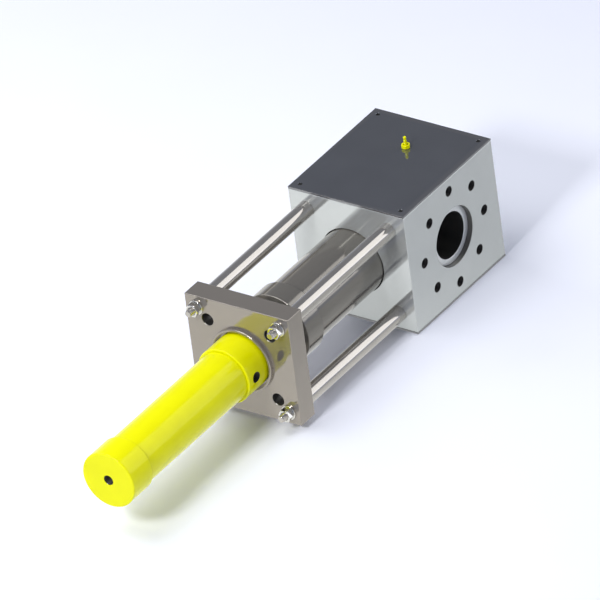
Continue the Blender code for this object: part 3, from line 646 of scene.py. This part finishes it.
def make_collar_screws():
    radius, top, tip = along_y("collar_screw_1")
    under, mouth, socket = top + 10 * MM, 5.1 * MM, hexagon(8 * MM)
    edge, point_edge = 0.5 * MM, 0.8 * MM
    points = [(0, tip), (COLLAR_SCREW - point_edge, tip), (COLLAR_SCREW, tip - point_edge),
              (COLLAR_SCREW, under), (radius, under), (radius, top, 0.9 * MM), (mouth, top),
              (socket, top + edge), (socket, top + 5 * MM), (0, top + 6 * MM)]
    for number, (x, z) in enumerate(corners(COLLAR_SCREW_PLACE), 1):
        centre = (x, 0, AXIS_Z + z)
        turned(f"collar_screw_{number}", points, BLACK_OXIDE, "ram_unit", SIDES, centre=centre)


def make_piston_rod():
    """Rod with a flat head inside the collar, and a screwed end that takes the piston and its nut."""
    head, end, head_front = along_y("piston_rod")
    piston_back, piston_front = along_y("piston")[1:]
    head_back, shoulder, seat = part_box("ram")[0].y + GAP, piston_front + GAP, piston_back - GAP
    thread_start = seat - 1 * MM
    bm = bmesh.new()
    lathe(bm, [(0, head_front), (head, head_front, 1 * MM), (head, head_back, 0.5 * MM),
               (ROD, head_back, 0.8 * MM), (ROD, shoulder, 0.6 * MM), (PISTON_THREAD, shoulder),
               (PISTON_THREAD, seat), (PISTON_ROOT, thread_start), (PISTON_ROOT, end, 0.8 * MM),
               (0, end)])
    thread(bm, PISTON_ROOT, PISTON_THREAD, PISTON_PITCH, thread_start, end + 1 * MM, "Y", (0, 0, AXIS_Z))
    finish(from_bmesh("fine_piston_rod", bm, PISTON_CHROME), "ram_unit", "piston_rod")


# Tie rods, nuts and the end plate -----------------------------------------------------------
def nut_outline(flats, bore, seat, top):
    """Hexagon nut facing -Y: both rims chamfered at 30 degrees, the bore countersunk."""
    inner, corner, slope, steps = flats * 0.475, flats * 0.5774, 1.73, 6
    depth = (corner - inner) / slope
    drops = [depth * step / steps for step in range(steps + 1)]
    countersink = 0.8 * MM
    points = [(bore, seat - countersink), (bore + countersink, seat)]
    points += [(hexagon(flats, inner + drop * slope), seat - drop) for drop in drops]
    points += [(hexagon(flats, inner + drop * slope), top + drop) for drop in reversed(drops)]
    return points + [(bore + countersink, top), (bore, top + countersink)]


def make_tie_rod(number):
    """A rod between block and plate, screwed into the block, with its washer and nut on its stud end."""
    node = f"tie_rod_{number}"
    x, _, z = middle(node)
    centre = (x, 0, z)
    radius, stud_end, screwed_end = along_y(node)
    shoulder, plate, stud_start = BLOCK_FRONT - GAP, PLATE_BACK + GAP, FLAT_FRONT + 3 * MM
    bm = bmesh.new()
    lathe(bm, [(0, screwed_end), (TIE_THREAD, screwed_end, 1 * MM), (TIE_THREAD, shoulder),
               (radius, shoulder, 0.8 * MM), (radius, plate, 0.8 * MM), (STUD, plate),
               (STUD, stud_start + 1 * MM), (STUD_ROOT, stud_start), (STUD_ROOT, stud_end, 0.8 * MM),
               (0, stud_end)], FINE, "Y", centre)
    thread(bm, STUD_ROOT, STUD, STUD_PITCH, stud_start, stud_end + 1 * MM, "Y", centre)
    finish(from_bmesh("fine_" + node, bm, ROD_CHROME), "valve_body", node)

    bore = STUD + GAP
    washer = f"tie_rod_washer_{number}"
    outer, top, seat = along_y(washer)
    points = [(bore, seat), (outer, seat, 0.3 * MM), (outer, top, 0.5 * MM), (bore, top, 0.2 * MM)]
    turned(washer, points, BRIGHT_ZINC, centre=centre)

    nut = f"tie_rod_nut_{number}"
    low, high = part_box(nut)
    points = nut_outline(high.z - low.z, bore, high.y, low.y)
    turned(nut, points, BRIGHT_ZINC, sides=NUT_SIDES, centre=centre)


def through(bm, radius, x, z, chamfer):
    """Cutter for a hole through the end plate, chamfered on both faces."""
    wide, front, back = radius + chamfer, FLAT_FRONT - PAST, PLATE_BACK + PAST
    lathe(bm, [(0, front), (wide, front), (wide, FLAT_FRONT), (radius, FLAT_FRONT + chamfer),
               (radius, PLATE_BACK - chamfer), (wide, PLATE_BACK), (wide, back), (0, back)],
          SIDES, "Y", (x, 0, AXIS_Z + z))


def make_end_plate():
    """Square plate with a raised ring that the cylinder's head stands in, and holes at its corners."""
    low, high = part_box("end_plate")
    bm = bmesh.new()
    slab(bm, (low.x, FLAT_FRONT, low.z), high, rounding=1 * MM)
    plate = from_bmesh("fine_end_plate", bm, PLATE_STEEL)

    ring_root = FLAT_FRONT + 10 * MM
    bm = bmesh.new()
    lathe(bm, [(0, ring_root), (RAISED_RING, ring_root), (RAISED_RING, PLATE_FRONT, 1.6 * MM),
               (0, PLATE_FRONT)])
    cut(plate, bm, PLATE_STEEL, "UNION")

    seat, edge = FLAT_FRONT + RING_DEPTH, 0.6 * MM
    front, back = PLATE_FRONT - PAST, PLATE_BACK + PAST
    bm = bmesh.new()
    lathe(bm, [(0, front), (RING_BORE + edge, front), (RING_BORE + edge, PLATE_FRONT),
               (RING_BORE, PLATE_FRONT + edge), (RING_BORE, seat), (NOSE_BORE, seat),
               (NOSE_BORE, PLATE_BACK - edge), (NOSE_BORE + edge, PLATE_BACK), (NOSE_BORE + edge, back),
               (0, back)])
    cut(plate, bm, PLATE_STEEL)

    bm = bmesh.new()
    for x, z in corners(ROD_PLACE):
        through(bm, STUD + GAP, x, z, chamfer=0.4 * MM)
    for x, z in corners(PLATE_HOLE_PLACE):
        through(bm, PLATE_HOLE, x, z, chamfer=0.7 * MM)
    # the plate's holes take the bores' painted shade
    cut(plate, bm, BORE_STEEL_PAINTED_SHADE)
    finish(plate, "valve_body", "end_plate")


# The hydraulic cylinder ---------------------------------------------------------------------
def groove_round(node):
    """Where the groove for an O-ring starts and ends."""
    low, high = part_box(node)
    return low.y - GAP, high.y + GAP


def make_head():
    """Head: nose through the plate, spigot in the tube, oil port in its right side."""
    radius, spigot_end, nose_end = along_y("cylinder_head")
    shoulder, back = FLAT_FRONT + RING_DEPTH - GAP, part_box("cylinder_tube")[1].y + GAP
    near, far = groove_round("head_o_ring")
    port_y = FLAT_FRONT - 32 * MM
    passage, passage_end = 24 * MM, port_y + 12 * MM
    points = [
        (NOSE, nose_end, 1.5 * MM), (NOSE, shoulder), (radius, shoulder, 0.6 * MM),
        (radius, back, 2 * MM), (SPIGOT, back), (SPIGOT, far), (O_RING_FLOOR, far),
        (O_RING_FLOOR, near), (SPIGOT, near), (SPIGOT, spigot_end, 1 * MM), (passage, spigot_end),
        (passage, passage_end), (ROD_BORE, passage_end),
    ]
    for node in ("rod_seal", "rod_bush"):
        outer, low, high = along_y(node)
        points += [(ROD_BORE, low - GAP), (outer + GAP, low - GAP), (outer + GAP, high + GAP),
                   (ROD_BORE, high + GAP)]
    outer, low, high = along_y("rod_wiper")
    points += [(ROD_BORE, low - GAP), (outer + GAP, low - GAP), (outer + GAP, nose_end)]
    bm = bmesh.new()
    lathe(bm, points)
    head = from_bmesh("fine_cylinder_head", bm, YELLOW_PAINT)
    head.data.materials.append(PLAIN_STEEL)
    for polygon in head.data.polygons:
        if polygon.center.y > shoulder + GAP / 2:
            polygon.material_index = 1

    centre = (0, port_y, AXIS_Z)
    bm = bmesh.new()
    hole(bm, OIL_ROOT, passage - PAST, radius - 0.4 * MM, "X", centre, chamfer=0.8 * MM)
    # the oil port takes the near-black painted shade of a hole
    cut(head, bm, HOLE_PAINTED_SHADE)
    port_start, port_end = radius - 2.5 * MM, radius - 14 * MM
    add_threads(head, [(OIL_ROOT, OIL_CREST, OIL_PITCH, port_start, port_end, "X", centre)])
    finish(head, "valve_body", "cylinder_head")


def make_locknut():
    """Round nut with four spanner slots, on the head's nose behind the end plate."""
    outer, start, end = along_y("cylinder_locknut")
    bm = bmesh.new()
    lathe(bm, [(NOSE_BORE, start, 0.6 * MM), (outer, start, 1.2 * MM), (outer, end, 1.2 * MM),
               (NOSE_BORE, end, 0.6 * MM)])
    nut = from_bmesh("fine_cylinder_locknut", bm, BLACK_OXIDE)
    slot_floor, outside, half = outer - 5 * MM, outer + 5 * MM, 4 * MM
    low, high = start - PAST, end + PAST
    bm = bmesh.new()
    for near, far in ((slot_floor, outside), (-outside, -slot_floor)):
        slab(bm, (near, low, AXIS_Z - half), (far, high, AXIS_Z + half))
        slab(bm, (-half, low, AXIS_Z + near), (half, high, AXIS_Z + far))
    cut(nut, bm, BLACK_OXIDE)
    finish(nut, "valve_body", "cylinder_locknut")


def make_tube():
    outer, back, front = along_y("cylinder_tube")
    points = [(TUBE_BORE, back), (outer, back, 0.5 * MM), (outer, front, 0.5 * MM), (TUBE_BORE, front)]
    turned("cylinder_tube", points, YELLOW_PAINT)


def make_end_cap():
    """Cap: spigot in the tube, oil port in its rear face."""
    outer, back, spigot_end = along_y("cylinder_end_cap")
    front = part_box("cylinder_tube")[0].y - GAP
    near, far = groove_round("cap_o_ring")
    edge = 0.8 * MM
    bm = bmesh.new()
    lathe(bm, [
        (OIL_ROOT, spigot_end), (SPIGOT, spigot_end, 1 * MM), (SPIGOT, far), (O_RING_FLOOR, far),
        (O_RING_FLOOR, near), (SPIGOT, near), (SPIGOT, front), (outer, front, 2.4 * MM),
        (outer, back, 2 * MM), (OIL_ROOT + edge, back), (OIL_ROOT, back + edge),
    ])
    cap = from_bmesh("fine_cylinder_end_cap", bm, YELLOW_PAINT)
    # faces inside the oil port take the near-black painted shade of a hole
    cap.data.materials.append(HOLE_PAINTED_SHADE)
    for polygon in cap.data.polygons:
        spots = [cap.data.vertices[index].co for index in polygon.vertices]
        reach = max(Vector((spot.x, 0, spot.z - AXIS_Z)).length for spot in spots)
        if reach < OIL_ROOT + 0.1 * MM:
            polygon.material_index = 1
    port_start, port_end = back + 2 * MM, back + 16 * MM
    add_threads(cap, [(OIL_ROOT, OIL_CREST, OIL_PITCH, port_start, port_end, "Y", (0, 0, AXIS_Z))])
    finish(cap, "valve_body", "cylinder_end_cap")


def dress_inner_nodes():
    """Inner solids keep their shape and take a finished material."""
    finishes = {
        "seat_seal_right": SEAL_RUBBER, "seat_seal_left": SEAL_RUBBER, "piston": PLAIN_STEEL,
        "piston_seal": SEAL_RUBBER, "piston_wear_ring": GUIDE_POLYMER, "piston_nut": BLACK_OXIDE,
        "rod_bush": BUSH_BRONZE, "rod_seal": SEAL_RUBBER, "rod_wiper": SEAL_RUBBER,
        "head_o_ring": SEAL_RUBBER, "cap_o_ring": SEAL_RUBBER,
    }
    for node, material in finishes.items():
        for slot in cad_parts[node].material_slots:
            slot.material = material


# Studio -------------------------------------------------------------------------------------
AZIMUTH, ELEVATION, ROLL = radians(38.18), radians(32.43), radians(-7.67)
VIEW_WIDTH = 0.8897         # metres across the picture, at the valve
LENS, SENSOR = 1400, 36     # millimetres; such a long lens keeps parallel edges parallel
CLIP_END = 100              # metres, well beyond the floor that shows
# The picture's middle, from the valve's axis above its origin: right, up and towards the camera
AIM = (-0.1445, -0.1179, 0.20)
VALVE_MIDDLE = Vector((0, -0.32, AXIS_Z))

# What shows above the horizon: the sine of the height, and the colour there
SKY = ((0.0, (0.70, 0.76, 0.98)), (0.22, (0.48, 0.53, 0.68)), (0.42, (0.26, 0.275, 0.32)),
       (0.75, (0.23, 0.25, 0.31)), (1.0, (0.30, 0.33, 0.42)))
SKY_STRENGTH = 0.66

FLOOR_REACH = 12            # metres from the middle to each edge
FLOOR_COLOUR, FLOOR_LOW, FLOOR_HIGH = (0.88, 0.90, 0.995), (0.875, 0.895, 0.99), (0.885, 0.905, 1.0)
# Painted glow that reflections see on the floor in place of its lit surface, with painted shade towards
# the right and the back, where the block's shadow falls
PAINTED_GLOW_BRIGHT, PAINTED_GLOW_SHADED = (1.0, 1.01, 1.0), (0.56, 0.575, 0.58)
PAINTED_SHADE_WAY, PAINTED_SHADE_REACH = (1, 0.6, 0), 0.25


def make_camera():
    back = Vector((sin(AZIMUTH) * cos(ELEVATION), -cos(AZIMUTH) * cos(ELEVATION), sin(ELEVATION)))
    level = Vector((cos(AZIMUTH), sin(AZIMUTH), 0))
    upward = back.cross(level)
    right = level * cos(ROLL) + upward * sin(ROLL)
    up = upward * cos(ROLL) - level * sin(ROLL)
    data = bpy.data.cameras.new("camera")
    data.sensor_width = SENSOR
    data.lens = LENS
    data.clip_end = CLIP_END
    camera = bpy.data.objects.new("camera", data)
    bpy.context.scene.collection.objects.link(camera)
    distance = VIEW_WIDTH * LENS / SENSOR
    spot = Vector((0, 0, AXIS_Z)) + right * AIM[0] + up * AIM[1] + back * (AIM[2] + distance)
    turn = Matrix((right, up, back)).transposed().to_4x4()
    camera.matrix_world = Matrix.Translation(spot) @ turn
    bpy.context.scene.camera = camera


def softbox(name, direction, distance, size, power):
    """A rectangular light that faces the middle of the valve from that direction."""
    data = bpy.data.lights.new(name, "AREA")
    data.shape = "RECTANGLE"
    data.size, data.size_y = size
    data.energy = power
    light = bpy.data.objects.new(name, data)
    bpy.context.scene.collection.objects.link(light)
    way = Vector(direction).normalized()
    light.location = VALVE_MIDDLE + way * distance
    light.rotation_euler = way.to_track_quat("Z", "Y").to_euler()


def make_world():
    """Pale blue near the horizon and dim above it, as in a studio with dark walls."""
    world = bpy.data.worlds.new("studio")
    bpy.context.scene.world = world
    world.use_nodes = True
    tree = world.node_tree
    place = tree.nodes.new("ShaderNodeTexCoord")
    split = tree.nodes.new("ShaderNodeSeparateXYZ")
    ramp = tree.nodes.new("ShaderNodeValToRGB")
    tree.links.new(place.outputs["Generated"], split.inputs["Vector"])
    tree.links.new(split.outputs["Z"], ramp.inputs["Fac"])
    stops = ramp.color_ramp.elements
    stops.remove(stops[1])
    stops[0].color = (*SKY[0][1], 1)
    for height, colour in SKY[1:]:
        stops.new(height).color = (*colour, 1)
    background = tree.nodes["Background"]
    tree.links.new(ramp.outputs["Color"], background.inputs["Color"])
    background.inputs["Strength"].default_value = SKY_STRENGTH


def painted_floor_glow(tree):
    """The floor as reflections see it: a painted glow, evenly bright, with painted shade towards the
    right and the back.
    """
    place = tree.nodes.new("ShaderNodeTexCoord")
    across = tree.nodes.new("ShaderNodeVectorMath")
    across.operation = "DOT_PRODUCT"
    across.inputs[1].default_value = PAINTED_SHADE_WAY
    tree.links.new(place.outputs["Object"], across.inputs[0])
    painted_dimming = between(tree, across.outputs["Value"], 0, 1, -PAINTED_SHADE_REACH, PAINTED_SHADE_REACH)
    glow = tree.nodes.new("ShaderNodeEmission")
    tree.links.new(mixed(tree, painted_dimming, PAINTED_GLOW_BRIGHT, PAINTED_GLOW_SHADED), glow.inputs["Color"])
    return glow.outputs["Emission"]


def make_floor():
    """A plain pale floor just under the valve. Reflections see a painted glow in its place, without the
    shadows cast on it but with painted shade towards the right and the back.
    """
    bm = bmesh.new()
    bm.faces.new([bm.verts.new((x, y, -GAP)) for x, y in corners(FLOOR_REACH)])
    material, tree, shader = new_material("pale_floor", FLOOR_COLOUR, roughness=0.6)
    vary_colour(tree, shader, noise(tree, scale=6), FLOOR_LOW, FLOOR_HIGH)
    ray = tree.nodes.new("ShaderNodeLightPath")
    choice = tree.nodes.new("ShaderNodeMixShader")
    tree.links.new(ray.outputs["Is Glossy Ray"], choice.inputs["Fac"])
    tree.links.new(shader.outputs["BSDF"], choice.inputs[1])
    tree.links.new(painted_floor_glow(tree), choice.inputs[2])
    tree.links.new(choice.outputs["Shader"], tree.nodes["Material Output"].inputs["Surface"])
    from_bmesh("floor", bm, material)


def make_studio():
    make_camera()
    make_world()
    make_floor()
    softbox("overhead", direction=(-0.28, -0.25, 1), distance=2.6, size=(1.8, 1.6), power=37)
    softbox("front", direction=(0.03, -0.77, 0.64), distance=3.6, size=(0.7, 0.6), power=74)
    softbox("right_back", direction=(0.57, 0.66, 0.48), distance=3.0, size=(2.4, 2.4), power=27)
    softbox("left", direction=(-0.90, 0.15, 0.75), distance=2.6, size=(1.2, 1.2), power=16)
    bpy.context.scene.view_settings.view_transform = "Standard"


def main():
    make_studio()
    make_block()
    for node, side in (("top_cover", 1), ("bottom_cover", -1)):
        make_cover(node, side)
    for group, side in (("top_cover_screw", 1), ("bottom_cover_screw", -1)):
        make_cover_screws(group, side)
    make_bleed_fitting()
    make_seat("right", 1)
    make_seat("left", -1)
    make_ram_rings()
    make_ram()
    make_collar()
    make_collar_screws()
    make_piston_rod()
    for number in range(1, 5):
        make_tie_rod(number)
    make_end_plate()
    make_head()
    make_locknut()
    make_tube()
    make_end_cap()
    dress_inner_nodes()


main()
